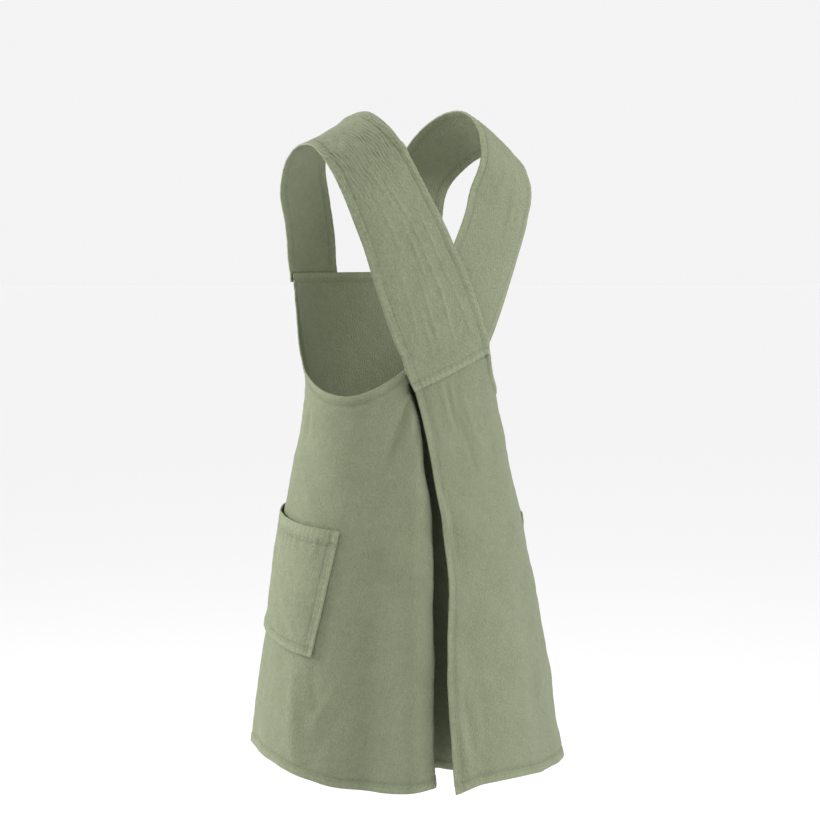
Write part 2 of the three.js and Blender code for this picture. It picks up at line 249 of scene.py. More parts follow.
def body_radius(angle, height):
    """Distance of the worn cloth from the upright axis."""
    row = section_at(-height / LENGTH)
    turn = np.radians(angle)
    depth = np.where(np.cos(turn) > 0, row[..., 1], row[..., 2]) * DEPTH
    across = np.abs(np.sin(turn) / (row[..., 0] * WIDTH)) ** row[..., 3]
    along = np.abs(np.cos(turn) / depth) ** row[..., 3]
    return (across + along) ** (-1 / row[..., 3])


def fold_profile(angle, middle, spread):
    """The rounded section of one upright fold, 1 on its middle."""
    away = np.abs(angle - middle) / spread
    return np.where(away < 1, 0.5 + 0.5 * np.cos(np.pi * np.minimum(away, 1)), 0.0)


def skirt_folds(angle, height):
    """Height of all the soft upright folds of the skirt together."""
    fall = -height / LENGTH
    total = np.zeros_like(angle)
    for middle, spread, start, rise in fold_rows:
        total += rise * DEPTH * ease(fall, start, 1.06) * fold_profile(angle, middle, spread)
    for middle, spread, start, full, rise in draped_rows:
        total += rise * DEPTH * ease(fall, start, full) * fold_profile(angle, middle, spread)
    return total


def lap_offset(angle, height):
    """How far the lapping wings leave the body: the left one folds in and sinks deepest just behind
    its crest, the right one stands off."""
    down = np.clip((LAP_START - height) / (LENGTH + LAP_START), 0, 1)
    fall = -height / LENGTH
    crest = crest_at(fall)[..., 0]
    turned = ease(angle, crest, crest + CREST_TURN)
    sunk = -FOLD_IN * down ** 0.6 * turned
    tucked = turned * (1 - ease(angle, crest + TUCK_TURN, crest + 2 * TUCK_TURN))
    sunk -= TUCK * (tucked * ease(fall, TUCK_START, TUCK_FULL))
    near = np.clip(1 - (free_edge_at(fall)[..., 0] + angle) / STAND_ANGLE, 0, 1)
    stood = STAND_OFF * down ** 0.75 * near ** 1.6
    return np.where(angle > 90, sunk, np.where(angle < -90, stood, 0.0))


def wing_layer(angle):
    """Lift of the right wing over the left wing and the right strap's end."""
    return 2 * LAYER * ease(-angle, 104, 134)


def cloth_point(angle, height, outward):
    """A point of the skirt's and bib's cloth, moved out by what it lies over."""
    reach = body_radius(angle, height) + skirt_folds(angle, height)
    reach = reach + lap_offset(angle, height) + outward
    turn = np.radians(angle)
    return np.stack([reach * np.sin(turn), -reach * np.cos(turn), height + 0 * reach], -1)


def panel_map(u, v):
    """Angle and height on the wrapped panel; u from the right free edge round to the left one."""
    armhole_end = BIB_COLUMNS + ARMHOLE_COLUMNS
    count = np.abs(u - 0.5) * (2 * (armhole_end + WING_COLUMNS))
    side = np.where(u < 0.5, -1.0, 1.0)
    right = u < 0.5
    down = 1 - v
    bib = np.clip(count / BIB_COLUMNS, 0, 1)
    arm = np.clip((count - BIB_COLUMNS) / ARMHOLE_COLUMNS, 0, 1)
    wing = np.clip((count - armhole_end) / WING_COLUMNS, 0, 1)
    edge = armhole_at(arm)
    corner = armhole_at(1.0)
    edge_angle = np.where(right, edge[..., 2], edge[..., 0])
    edge_fall = np.where(right, edge[..., 3], edge[..., 1])
    top_fall = np.where(right, corner[3], corner[1]) * (1 - wing) + free_edge_rows[0][0] * wing
    low_edge = np.where(right, free_edge_rows[-1][1], free_edge_rows[-1][2])
    in_bib, in_arm = count <= BIB_COLUMNS, (count > BIB_COLUMNS) & (count <= armhole_end)
    top = np.where(in_bib, BIB_TOP, np.where(in_arm, -edge_fall * LENGTH, -top_fall * LENGTH))
    arm_low = BIB_HEM_ANGLE + arm * (WING_HEM_ANGLE - BIB_HEM_ANGLE)
    wing_low = WING_HEM_ANGLE + wing * (low_edge - WING_HEM_ANGLE)
    low = np.where(in_bib, bib * BIB_HEM_ANGLE, np.where(in_arm, arm_low, wing_low))
    hem = -hem_at(side * low)[..., 0] * LENGTH
    height = top + (hem - top) * down
    start = np.where(in_bib, bib * BIB_HALF_ANGLE, edge_angle)
    angle = start + (low - start) * down
    corner_angle = np.where(right, corner[2], corner[0])
    inner = corner_angle + (WING_HEM_ANGLE - corner_angle) * down
    free = free_edge_at(-height / LENGTH)
    outer = np.where(right, free[..., 0], free[..., 1])
    angle = np.where(in_bib | in_arm, angle, inner + (outer - inner) * wing)
    return side * angle, height


def panel_middle(u, v):
    """The middle of the panel's cloth."""
    angle, height = panel_map(u, v)
    return cloth_point(angle, height, wing_layer(angle))


def spread_lines(cells, length, border, near):
    """Places of grid lines from 0 to 1: `near` cells inside each border, the rest even."""
    share = border / length
    edge = np.linspace(0, share, near + 1)
    middle = np.linspace(share, 1 - share, cells - 2 * near + 1)[1:-1]
    return np.concatenate([edge, middle, 1 - edge[::-1]])


def cloth_grid(name, columns, rows):
    """A flat sheet of cloth squares, ready to be hung; returns it with its column and row numbers."""
    bpy.ops.object.select_all(action="DESELECT")
    bpy.ops.mesh.primitive_grid_add(x_subdivisions=columns, y_subdivisions=rows, size=1.0)
    sheet = bpy.context.object
    sheet.name = name
    sheet.data.name = name
    flat = np.empty(len(sheet.data.vertices) * 3)
    sheet.data.vertices.foreach_get("co", flat)
    flat = flat.reshape(-1, 3)
    column = np.rint((flat[:, 0] + 0.5) * columns).astype(int)
    row = np.rint((flat[:, 1] + 0.5) * rows).astype(int)
    return sheet, column, row


def hang_cloth(sheet, column, row, points, extra, wear_and_painted_light, hem):
    """Moves the squares to their places, lifted along the cloth's outward direction, which looks away
    from the apron's middle. Lays out their cloth lengths as the UV map, in metres, and marks the cloth's
    paleness from use with its painted highlights and painted shade, and where it is hemmed."""
    along_u = np.gradient(points, axis=0)
    along_v = np.gradient(points, axis=1)
    outward = np.cross(along_u, along_v)
    outward /= np.linalg.norm(outward, axis=-1, keepdims=True)
    if np.sum(outward * (points - np.array(APRON_MIDDLE))) < 0:
        outward = -outward
    placed = points + outward * extra[..., None]
    sheet.data.vertices.foreach_set("co", placed[column, row].ravel())
    step_u = np.linalg.norm(np.diff(points, axis=0), axis=-1)
    step_v = np.linalg.norm(np.diff(points, axis=1), axis=-1)
    middle_row = points.shape[1] // 2
    cloth_u = np.concatenate([[0.0], np.cumsum(step_u[:, middle_row])])
    cloth_v = np.concatenate([np.zeros((points.shape[0], 1)), np.cumsum(step_v, axis=1)], axis=1)
    loops = np.empty(len(sheet.data.loops), int)
    sheet.data.loops.foreach_get("vertex_index", loops)
    uv = np.stack([cloth_u[column], cloth_v[column, row]], -1)[loops]
    sheet.data.uv_layers.active.data.foreach_set("uv", uv.ravel())
    # This attribute holds the cloth's paleness from use and random tone together with painted highlights and
    # painted shade.
    fade = sheet.data.attributes.new("wear_and_painted_light", "FLOAT", "POINT")
    fade.data.foreach_set("value", np.clip(wear_and_painted_light, -1, 1)[column, row])
    folded = sheet.vertex_groups.new(name="hem")
    weight = hem[column, row]
    for index in np.nonzero(weight > 0.01)[0]:
        folded.add([int(index)], float(weight[index]), "REPLACE")
    sheet.data.update()
    return placed, outward


def soft_noise(points, size, seed):
    """Smooth random unevenness of the cloth, between about -1 and 1, with bumps of the given size."""
    draw = np.random.RandomState(seed)
    total = np.zeros(points.shape[:-1])
    for _ in range(14):
        direction = draw.normal(size=3)
        direction /= np.linalg.norm(direction)
        wave = size * draw.uniform(0.7, 1.5)
        total += np.sin(points @ direction * (2 * np.pi / wave) + draw.uniform(0, 2 * np.pi))
    return total / 3.7


def crease_field(across, down, creases):
    """Heights of single creases. Each runs from one place to another on the flat-laid cloth, with a
    width and a height; all in metres."""
    total = np.zeros_like(across)
    for x0, y0, x1, y1, width, rise in creases:
        dx, dy = x1 - x0, y1 - y0
        length = math.hypot(dx, dy)
        t = ((across - x0) * dx + (down - y0) * dy) / (length * length)
        off = ((across - x0) * dy - (down - y0) * dx) / length
        inside = np.clip(t, 0, 1)
        fade = np.sin(np.pi * inside) ** 0.7
        total += rise * np.exp(-((off / width) ** 2)) * fade
    return total


def hem_band(distance):
    """1 on the turned-in edge, 0 on the single cloth beside it."""
    return 1 - ease(distance, HEM - 0.0012, HEM + 0.0014)


def hem_puckers(run, seed):
    """Small uneven puckers that follow each other along a sewn hem."""
    return np.sin(run * 2 * np.pi / PUCKER_PITCH + 1.7 * np.sin(run * 61.0 + seed))


def hem_relief(distance, run, seed):
    """The turned-in edge stands a little proud, its stitch line is pulled in, and small puckers
    run across it."""
    stitch = np.exp(-(((distance - HEM + STITCH_INSET) / 0.0011) ** 2))
    ditch = np.exp(-(((distance - HEM - 0.0018) / 0.0016) ** 2))
    near = np.exp(-(((distance - HEM * 0.7) / 0.007) ** 2))
    puckers = 0.00030 * hem_puckers(run, seed) * near
    return 0.0007 * hem_band(distance) - 0.0006 * stitch - 0.0005 * ditch + puckers


def hem_wear_and_painted_light(distance, run, seed):
    """The proud band is paler from washing and also lit by a painted highlight, its outer fold has a painted
    highlight, and the stitch line and the ditch beside the band are darkened with painted shade.
    """
    stitch = np.exp(-(((distance - HEM + STITCH_INSET) / 0.0010) ** 2))
    ditch = np.exp(-(((distance - HEM - 0.0020) / 0.0016) ** 2))
    fold = np.exp(-((distance / 0.0016) ** 2))
    speckle = 0.75 + 0.25 * hem_puckers(run, seed)
    return (0.50 * hem_band(distance) + 0.34 * fold) * speckle - 0.75 * stitch - 0.70 * ditch


def give_thickness(sheet):
    """Turns the single sheet into a wall of cloth with closed edges, thicker where it is hemmed."""
    wall = sheet.modifiers.new("cloth_wall", "SOLIDIFY")
    wall.thickness = HEM_THICKNESS
    wall.offset = 0.0
    wall.vertex_group = "hem"
    wall.thickness_vertex_group = CLOTH / HEM_THICKNESS
    bpy.ops.object.select_all(action="DESELECT")
    bpy.context.view_layer.objects.active = sheet
    sheet.select_set(True)
    bpy.ops.object.modifier_apply(modifier="cloth_wall")
    bpy.ops.object.shade_smooth()


def sew_line(name, path, pitch=0.0032, length=0.0024, thick=0.00030):
    """A row of machine stitches along a path that lies on the cloth."""
    bpy.ops.object.select_all(action="DESELECT")
    bpy.ops.mesh.primitive_ico_sphere_add(subdivisions=1, radius=1.0, location=(0, 0, 0))
    stitch = bpy.context.object
    stitch.name = name
    bpy.ops.transform.resize(value=(length / 2, thick, thick))
    bpy.ops.object.transform_apply(location=True, rotation=True, scale=True)
    line = bpy.data.curves.new(name + "_line", "CURVE")
    line.dimensions = "3D"
    spline = line.splines.new("POLY")
    spline.points.add(len(path) - 1)
    spline.points.foreach_set("co", np.column_stack([path, np.ones(len(path))]).ravel())
    guide = bpy.data.objects.new(name + "_line", line)
    bpy.context.scene.collection.objects.link(guide)
    total = float(np.linalg.norm(np.diff(path, axis=0), axis=1).sum())
    copies = stitch.modifiers.new("row", "ARRAY")
    copies.fit_type = "FIXED_COUNT"
    copies.count = max(int(total / pitch), 2)
    copies.use_relative_offset = False
    copies.use_constant_offset = True
    copies.constant_offset_displace = (pitch, 0, 0)
    follow = stitch.modifiers.new("follow", "CURVE")
    follow.object = guide
    follow.deform_axis = "POS_X"
    bpy.context.view_layer.objects.active = stitch
    bpy.ops.object.modifier_apply(modifier="row")
    bpy.ops.object.modifier_apply(modifier="follow")
    bpy.data.objects.remove(guide)
    bpy.ops.object.shade_smooth()
    return stitch


def join_rows(name, rows_of_stitches, thread):
    """Makes one piece of several rows of stitches, sewn with one thread."""
    bpy.ops.object.select_all(action="DESELECT")
    for row_piece in rows_of_stitches:
        row_piece.select_set(True)
    bpy.context.view_layer.objects.active = rows_of_stitches[0]
    bpy.ops.object.join()
    joined = bpy.context.object
    joined.name = name
    joined.data.name = name
    joined.data.materials.clear()
    joined.data.materials.append(thread)
    return joined


YARN_PITCH = 0.0011


def washed_cloth(name, shade):
    """Washed sage green cotton: a plain weave of slubby yarn, softly mottled and crinkled, dull with
    a little fuzz. It follows the piece's own cloth lengths and its place on the apron."""
    material = bpy.data.materials.new(name)
    material.use_nodes = True
    nodes, links = material.node_tree.nodes, material.node_tree.links
    surface = nodes["Principled BSDF"]
    surface.inputs["Roughness"].default_value = 0.88
    surface.inputs["Specular IOR Level"].default_value = 0.18
    surface.inputs["Sheen Weight"].default_value = 0.12
    surface.inputs["Sheen Roughness"].default_value = 0.5

    place = nodes.new("ShaderNodeTexCoord")
    lengths = nodes.new("ShaderNodeMapping")
    links.new(place.outputs["UV"], lengths.inputs["Vector"])

    def yarns(direction):
        wave = nodes.new("ShaderNodeTexWave")
        wave.wave_type = "BANDS"
        wave.bands_direction = direction
        wave.inputs["Scale"].default_value = 0.5 / YARN_PITCH
        wave.inputs["Distortion"].default_value = 1.6
        wave.inputs["Detail"].default_value = 1.0
        wave.inputs["Detail Scale"].default_value = 0.8
        links.new(lengths.outputs["Vector"], wave.inputs["Vector"])
        return wave

    def slubs(scale_x, scale_y, detail):
        stretch = nodes.new("ShaderNodeMapping")
        stretch.inputs["Scale"].default_value = (scale_x, scale_y, 1.0)
        links.new(place.outputs["UV"], stretch.inputs["Vector"])
        noise = nodes.new("ShaderNodeTexNoise")
        noise.inputs["Scale"].default_value = 1.0
        noise.inputs["Detail"].default_value = detail
        noise.inputs["Roughness"].default_value = 0.6
        links.new(stretch.outputs["Vector"], noise.inputs["Vector"])
        return noise

    def multiply(colour, tone):
        product = nodes.new("ShaderNodeMix")
        product.data_type = "RGBA"
        product.blend_type = "MULTIPLY"
        product.inputs["Factor"].default_value = 1.0
        links.new(colour, product.inputs["A"])
        links.new(tone, product.inputs["B"])
        return product.outputs["Result"]

    warp, weft = yarns("X"), yarns("Y")
    weave = nodes.new("ShaderNodeMath")
    weave.operation = "MULTIPLY"
    links.new(warp.outputs["Fac"], weave.inputs[0])
    links.new(weft.outputs["Fac"], weave.inputs[1])
    long_slubs = slubs(700.0, 230.0, 3.0)
    cross_slubs = slubs(420.0, 620.0, 3.0)
    slub_mix = nodes.new("ShaderNodeMath")
    slub_mix.operation = "ADD"
    links.new(long_slubs.outputs["Fac"], slub_mix.inputs[0])
    links.new(cross_slubs.outputs["Fac"], slub_mix.inputs[1])

    mottle = nodes.new("ShaderNodeTexNoise")
    mottle.inputs["Scale"].default_value = 26.0
    mottle.inputs["Detail"].default_value = 5.0
    mottle.inputs["Roughness"].default_value = 0.62
    links.new(place.outputs["Object"], mottle.inputs["Vector"])
    crinkle = slubs(430.0, 250.0, 4.0)
    crinkle.inputs["Roughness"].default_value = 0.72
    crinkle.inputs["Distortion"].default_value = 0.5

    dye = nodes.new("ShaderNodeValToRGB")
    dye.color_ramp.elements[0].position = 0.30
    dye.color_ramp.elements[0].color = (shade[0] * 0.95, shade[1] * 0.955, shade[2] * 0.94, 1.0)
    dye.color_ramp.elements[1].position = 0.72
    dye.color_ramp.elements[1].color = (shade[0] * 1.04, shade[1] * 1.035, shade[2] * 1.045, 1.0)
    links.new(mottle.outputs["Fac"], dye.inputs["Fac"])
    yarn_tone = nodes.new("ShaderNodeMapRange")
    yarn_tone.inputs["From Min"].default_value = 0.6
    yarn_tone.inputs["From Max"].default_value = 1.4
    yarn_tone.inputs["To Min"].default_value = 0.84
    yarn_tone.inputs["To Max"].default_value = 1.16
    links.new(slub_mix.outputs["Value"], yarn_tone.inputs["Value"])
    tinted = multiply(dye.outputs["Color"], yarn_tone.outputs["Result"])
    # The attribute read here scales the colour: paleness from washing and random tone, together with painted
    # highlights on proud hems, folds, crinkles and creases and painted shade in stitch lines, ditches and
    # troughs.
    light_and_wear_reader = nodes.new("ShaderNodeAttribute")
    light_and_wear_reader.attribute_name = "wear_and_painted_light"
    wear_and_light_tone = nodes.new("ShaderNodeMapRange")
    wear_and_light_tone.inputs["From Min"].default_value = -1.0
    wear_and_light_tone.inputs["From Max"].default_value = 1.0
    wear_and_light_tone.inputs["To Min"].default_value = 0.78
    wear_and_light_tone.inputs["To Max"].default_value = 1.22
    links.new(light_and_wear_reader.outputs["Fac"], wear_and_light_tone.inputs["Value"])
    washed_and_lit_colour = multiply(tinted, wear_and_light_tone.outputs["Result"])
    links.new(washed_and_lit_colour, surface.inputs["Base Color"])

    relief = nodes.new("ShaderNodeMath")
    relief.operation = "MULTIPLY_ADD"
    relief.inputs[1].default_value = 0.55
    links.new(slub_mix.outputs["Value"], relief.inputs[0])
    links.new(weave.outputs["Value"], relief.inputs[2])
    thread_bump = nodes.new("ShaderNodeBump")
    thread_bump.inputs["Strength"].default_value = 0.35
    thread_bump.inputs["Distance"].default_value = 0.0003
    links.new(relief.outputs["Value"], thread_bump.inputs["Height"])
    crinkle_bump = nodes.new("ShaderNodeBump")
    crinkle_bump.inputs["Strength"].default_value = 1.0
    crinkle_bump.inputs["Distance"].default_value = 0.0030
    links.new(crinkle.outputs["Fac"], crinkle_bump.inputs["Height"])
    links.new(thread_bump.outputs["Normal"], crinkle_bump.inputs["Normal"])
    links.new(crinkle_bump.outputs["Normal"], surface.inputs["Normal"])
    return material


def sewing_thread():
    """Matching thread, a shade lighter and smoother than the cloth."""
    material = bpy.data.materials.new("sage_thread")
    material.use_nodes = True
    nodes, links = material.node_tree.nodes, material.node_tree.links
    surface = nodes["Principled BSDF"]
    surface.inputs["Roughness"].default_value = 0.6
    place = nodes.new("ShaderNodeTexCoord")
    twist = nodes.new("ShaderNodeTexNoise")
    twist.inputs["Scale"].default_value = 900.0
    links.new(place.outputs["Object"], twist.inputs["Vector"])
    dye = nodes.new("ShaderNodeValToRGB")
    dye.color_ramp.elements[0].color = (0.30, 0.32, 0.215, 1.0)
    dye.color_ramp.elements[1].color = (0.42, 0.44, 0.32, 1.0)
    links.new(twist.outputs["Fac"], dye.inputs["Fac"])
    links.new(dye.outputs["Color"], surface.inputs["Base Color"])
    return material


sage = (0.236, 0.260, 0.164)
cloth_material = washed_cloth("sage_cotton", sage)
thread_material = sewing_thread()

# Single creases of the panel: angle and height of both ends, width, height.
panel_crease_rows = [
    (78, -0.395, 80, -0.455, 0.0040, 0.0014),
    (82, -0.398, 86, -0.448, 0.0035, -0.0014),
    (87, -0.402, 92, -0.440, 0.0035, 0.0012),
    (101, -0.735, 105, -0.870, 0.0090, 0.0034),
    (108, -0.730, 112, -0.800, 0.0060, -0.0020),
    (120, -0.745, 109, -0.830, 0.0055, 0.0020),
    (123, -0.770, 112, -0.855, 0.0055, -0.0018),
    (150, -0.384, 141, -0.424, 0.0050, -0.0036),
    (143, -0.408, 133, -0.480, 0.0075, -0.0042),
    (152, -0.400, 147, -0.462, 0.0060, 0.0034),
    (154, -0.440, 151, -0.540, 0.0070, 0.0026),
    (-184, -0.362, -175, -0.440, 0.0045, 0.0017),
    (-178, -0.362, -168, -0.455, 0.0045, -0.0015),
    (-175, -0.362, -163, -0.430, 0.0048, 0.0016),
    (-170, -0.362, -161, -0.500, 0.0050, -0.0019),
    (-163, -0.362, -152, -0.470, 0.0055, 0.0014),
    (-198, -0.380, -190, -0.460, 0.0045, -0.0018),
    (-193, -0.515, -190, -0.590, 0.0055, 0.0026),
    (-189, -0.505, -187, -0.600, 0.0050, -0.0020),
    (-196, -0.780, -191, -0.880, 0.0060, 0.0026),
    (-191, -0.760, -188, -0.870, 0.0055, -0.0024),
    (-186, -0.770, -184, -0.860, 0.0060, 0.0020),
]


def panel_creases(angle, height):
    """Heights of the panel's single creases, each laid out on the local round of the body."""
    total = np.zeros_like(angle)
    for a0, z0, a1, z1, width, rise in panel_crease_rows:
        round_here = float(body_radius((a0 + a1) / 2, (z0 + z1) / 2))
        across = np.radians(angle - a0) * round_here
        run = math.radians(a1 - a0) * round_here
        total += crease_field(across, height - z0, [(0.0, 0.0, run, z1 - z0, width, rise)])
    return total


# The cloth squares are smaller at the hems. Their spacing takes the panel as this long round and down.
PANEL_ROUND = 1.42
PANEL_DROP = 0.545
panel_columns, panel_rows = 372, 120
u_lines = spread_lines(panel_columns, PANEL_ROUND, HEM_BORDER, 7)
v_lines = spread_lines(panel_rows, PANEL_DROP, HEM_BORDER, 7)
grid_u, grid_v = np.meshgrid(u_lines, v_lines, indexing="ij")
panel_points = panel_middle(grid_u, grid_v)
panel_angle, panel_height = panel_map(grid_u, grid_v)

# Distances to the cut edges, for the turned-in hems.
up_steps = np.linalg.norm(np.diff(panel_points, axis=1), axis=-1)
to_top = np.concatenate([np.cumsum(up_steps[:, ::-1], axis=1)[:, ::-1], np.zeros((len(up_steps), 1))], axis=1)
to_hem = to_top[:, :1] - to_top
round_steps = np.linalg.norm(np.diff(panel_points, axis=0), axis=-1)
run_round = np.concatenate([np.zeros((1, round_steps.shape[1])), np.cumsum(round_steps, axis=0)], axis=0)
to_side = np.minimum(run_round, run_round[-1:] - run_round)


def hanging_unevenness(points, height):
    """The soft waviness of the loose skirt and the slight crinkle that washing leaves in it."""
    loose = ease(-height, 0.37, 0.47)
    return (
        loose * 0.0012 * soft_noise(points, 0.085, 3)
        + loose * 0.00050 * soft_noise(points, 0.034, 5)
        + 0.00018 * soft_noise(points, 0.014, 8)
    )


# Under the straps' ends the wings' edges are left plain: up to a metre is added to the distance there.
top_off = to_top + np.where(np.abs(panel_angle) > 150, 1.0, 0.0)
side_off = to_side + (1 - ease(-panel_height, 0.355, 0.372))
edges = ((to_hem, run_round, 1.0), (top_off, run_round, 2.0), (side_off, to_hem, 3.0))
panel_extra = hanging_unevenness(panel_points, panel_height) + panel_creases(panel_angle, panel_height)
# The panel's tone: a random tone, with the hems' painted highlights and painted shade.
panel_wear_and_painted_light = 0.10 * soft_noise(panel_points, 0.012, 15)
for distance, run, seed in edges:
    panel_extra = panel_extra + hem_relief(distance, run, seed)
    panel_wear_and_painted_light = panel_wear_and_painted_light + hem_wear_and_painted_light(distance, run, seed)
panel_hem = hem_band(np.minimum(np.minimum(to_hem, top_off), side_off))
panel, column, row = cloth_grid("apron_panel", panel_columns, panel_rows)
panel_placed, panel_outward = hang_cloth(panel, column, row, panel_points, panel_extra, panel_wear_and_painted_light,
                                          panel_hem)
panel.data.materials.append(cloth_material)
give_thickness(panel)


def line_on(placed, outward, index, axis, lift=0.00062):
    """A path just over the outer face of a sheet, along one of its rows or columns of squares."""
    if axis == "row":
        return placed[:, index] + outward[:, index] * lift
    return placed[index, :] + outward[index, :] * lift


seam = 5
panel_stitching = join_rows("panel_stitching", [
    sew_line("hem_stitches", line_on(panel_placed, panel_outward, seam, "row")),
    sew_line("top_edge_stitches", line_on(panel_placed, panel_outward, panel_rows - seam, "row")),
    sew_line("right_edge_stitches", line_on(panel_placed, panel_outward, seam, "column")),
    sew_line("left_edge_stitches", line_on(panel_placed, panel_outward, panel_columns - seam, "column")),
], thread_material)
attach(panel, "root")
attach(panel_stitching, "root")
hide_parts("body_panel")


# Left strap: a wide band of the same cloth with turned-in long edges. It is sewn to the bib at the
# front, rides over the left shoulder and crosses the back on top of the right strap, and its square
# end is sewn over the top of the right wing.
SHOULDER_FALL = 0.088
SHOULDER_ARC = 0.136
RIDGE_START = 0.069
RIDGE_RUN = 0.088
RIDGE_DROP = 0.049
LEFT_RIDGE_ROUND = 0.85
RIGHT_RIDGE_ROUND = 1.3
RIDGE_BACK = 0.038
RIDGE_LEAN = 0.17
BIB_END = 0.16
STRAP_WIDTH = 0.115
STRAP_RUN = 0.640
SHOULDER_AT = 0.285
BIB_LAP_LIFT = 0.0016

# Stations: along, side of the ridge, neck edge across and down, arm edge across and down, metres.
strap_rows = [
    (0.000, -1, 0.0330, 0.2320, 0.1230, 0.2320),
    (0.093, -1, 0.0410, 0.1700, 0.1290, 0.1740),
    (0.204, -1, 0.0570, 0.0920, 0.1400, 0.1070),
    (0.302, -1, 0.0710, 0.0270, 0.1520, 0.0690),
    (0.397, 1, 0.0780, 0.0080, 0.1620, 0.0515),
    (0.457, 1, 0.0775, 0.0190, 0.1645, 0.0630),
    (0.503, 1, 0.0720, 0.0400, 0.1625, 0.0830),
    (0.559, 1, 0.0600, 0.0705, 0.1560, 0.1130),
    (0.612, 1, 0.0420, 0.1020, 0.1450, 0.1435),
    (0.681, 1, 0.0210, 0.1430, 0.1290, 0.1850),
    (0.754, 1, -0.0030, 0.1890, 0.1140, 0.2266),
    (0.822, 1, -0.0260, 0.2270, 0.0975, 0.2690),
    (0.894, 1, -0.0480, 0.2700, 0.0790, 0.3117),
    (1.000, 1, -0.0765, 0.3310, 0.0465, 0.3780),
]


def body_depth(x, height, side):
    """Distance of the back or front from the middle plane."""
    row = section_at(-height / LENGTH)
    depth = np.where(side < 0, row[..., 1], row[..., 2]) * DEPTH
    share = np.minimum(np.abs(x) / (row[..., 0] * WIDTH), 1)
    return depth * (1 - share ** row[..., 3]) ** (1 / row[..., 3])


def yoke_point(x, reach, rounding):
    """A place on the shoulders by distance across and length over them, negative in front."""
    run = np.maximum((np.abs(x) - RIDGE_START) / RIDGE_RUN, 0)
    turn = np.minimum(np.abs(reach) / SHOULDER_ARC, 1) * np.pi / 2
    fall = SHOULDER_FALL * (1 - np.cos(turn)) + np.maximum(np.abs(reach) - SHOULDER_ARC, 0)
    height = -RIDGE_DROP * run ** rounding - fall
    side = np.where(reach < 0, -1.0, 1.0)
    ridge = RIDGE_BACK - RIDGE_LEAN * np.abs(x)
    y = ridge + (side * body_depth(x, height, side) - ridge) * np.sin(turn)
    return np.stack([x, y, height], -1)


def reach_at(x, height, side, rounding):
    """Length over the shoulder at which a height is reached."""
    run = max((abs(x) - RIDGE_START) / RIDGE_RUN, 0)
    fall = max(-height - RIDGE_DROP * run ** rounding, 0)
    if fall > SHOULDER_FALL:
        return side * (SHOULDER_ARC + fall - SHOULDER_FALL)
    return side * SHOULDER_ARC * math.acos(1 - fall / SHOULDER_FALL) / (math.pi / 2)


def strap_points(rows, side, rounding, u, v, layers):
    """The strap's cloth: u from the neck edge to the arm edge, v from the wing back to the bib, where
    it straightens so that its end lies level."""
    lines = []
    for at, way, inner_x, inner_fall, outer_x, outer_fall in rows:
        inner_reach = reach_at(inner_x, -inner_fall, way, rounding)
        outer_reach = reach_at(outer_x, -outer_fall, way, rounding)
        lines.append((at, inner_x, inner_reach, outer_x, outer_reach))
    line = smooth_rows(lines)(1 - v)
    x = line[..., 0] + (line[..., 2] - line[..., 0]) * u
    reach = line[..., 1] + (line[..., 3] - line[..., 1]) * u
    inner_height = yoke_point(line[..., 0], line[..., 1], rounding)[..., 2]
    outer_height = yoke_point(line[..., 2], line[..., 3], rounding)[..., 2]
    bow = yoke_point(x, reach, rounding)[..., 2] - (inner_height + (outer_height - inner_height) * u)
    reach = reach - bow * (1 - ease(1 - v, 0.0, BIB_END))
    step = 5e-5
    along_x = yoke_point(x + step, reach, rounding) - yoke_point(x - step, reach, rounding)
    along_reach = yoke_point(x, reach + step, rounding) - yoke_point(x, reach - step, rounding)
    outward = np.cross(along_x, along_reach)
    outward /= np.linalg.norm(outward, axis=-1, keepdims=True)
    points = yoke_point(x, reach, rounding) + outward * (layers * LAYER)[..., None]
    points[..., 0] *= side
    return points


strap_columns, strap_length_rows = 112, 400
strap_u = spread_lines(strap_columns, STRAP_WIDTH, HEM_BORDER, 8)
strap_v = spread_lines(strap_length_rows, STRAP_RUN, HEM_BORDER, 6)
# The rows lie closer over the shoulder, where the cloth crinkles.
strap_v = strap_v + 0.035 * np.sin(2 * np.pi * np.clip((strap_v - 0.18) / 0.65, 0, 1))
strap_grid_u, strap_grid_v = np.meshgrid(strap_u, strap_v, indexing="ij")
strap_along = 1 - strap_grid_v
across_m = (strap_grid_u - 0.5) * STRAP_WIDTH
along_m = strap_along * STRAP_RUN
# Each strap's end on the bib lies over the bib's turned-in edge.
over_bib = BIB_LAP_LIFT * (1 - ease(along_m, 0.018, 0.060))


def strap_edges(points):
    """Distances to the long edges and to the sewn ends, and the run along both."""
    step = np.linalg.norm(np.diff(points, axis=0), axis=-1)
    across = np.concatenate([np.zeros((1, step.shape[1])), np.cumsum(step, axis=0)], axis=0)
    step = np.linalg.norm(np.diff(points, axis=1), axis=-1)
    run = np.concatenate([np.zeros((step.shape[0], 1)), np.cumsum(step, axis=1)], axis=1)
    return np.minimum(across, across[-1:] - across), np.minimum(run, run[:, -1:] - run), across, run


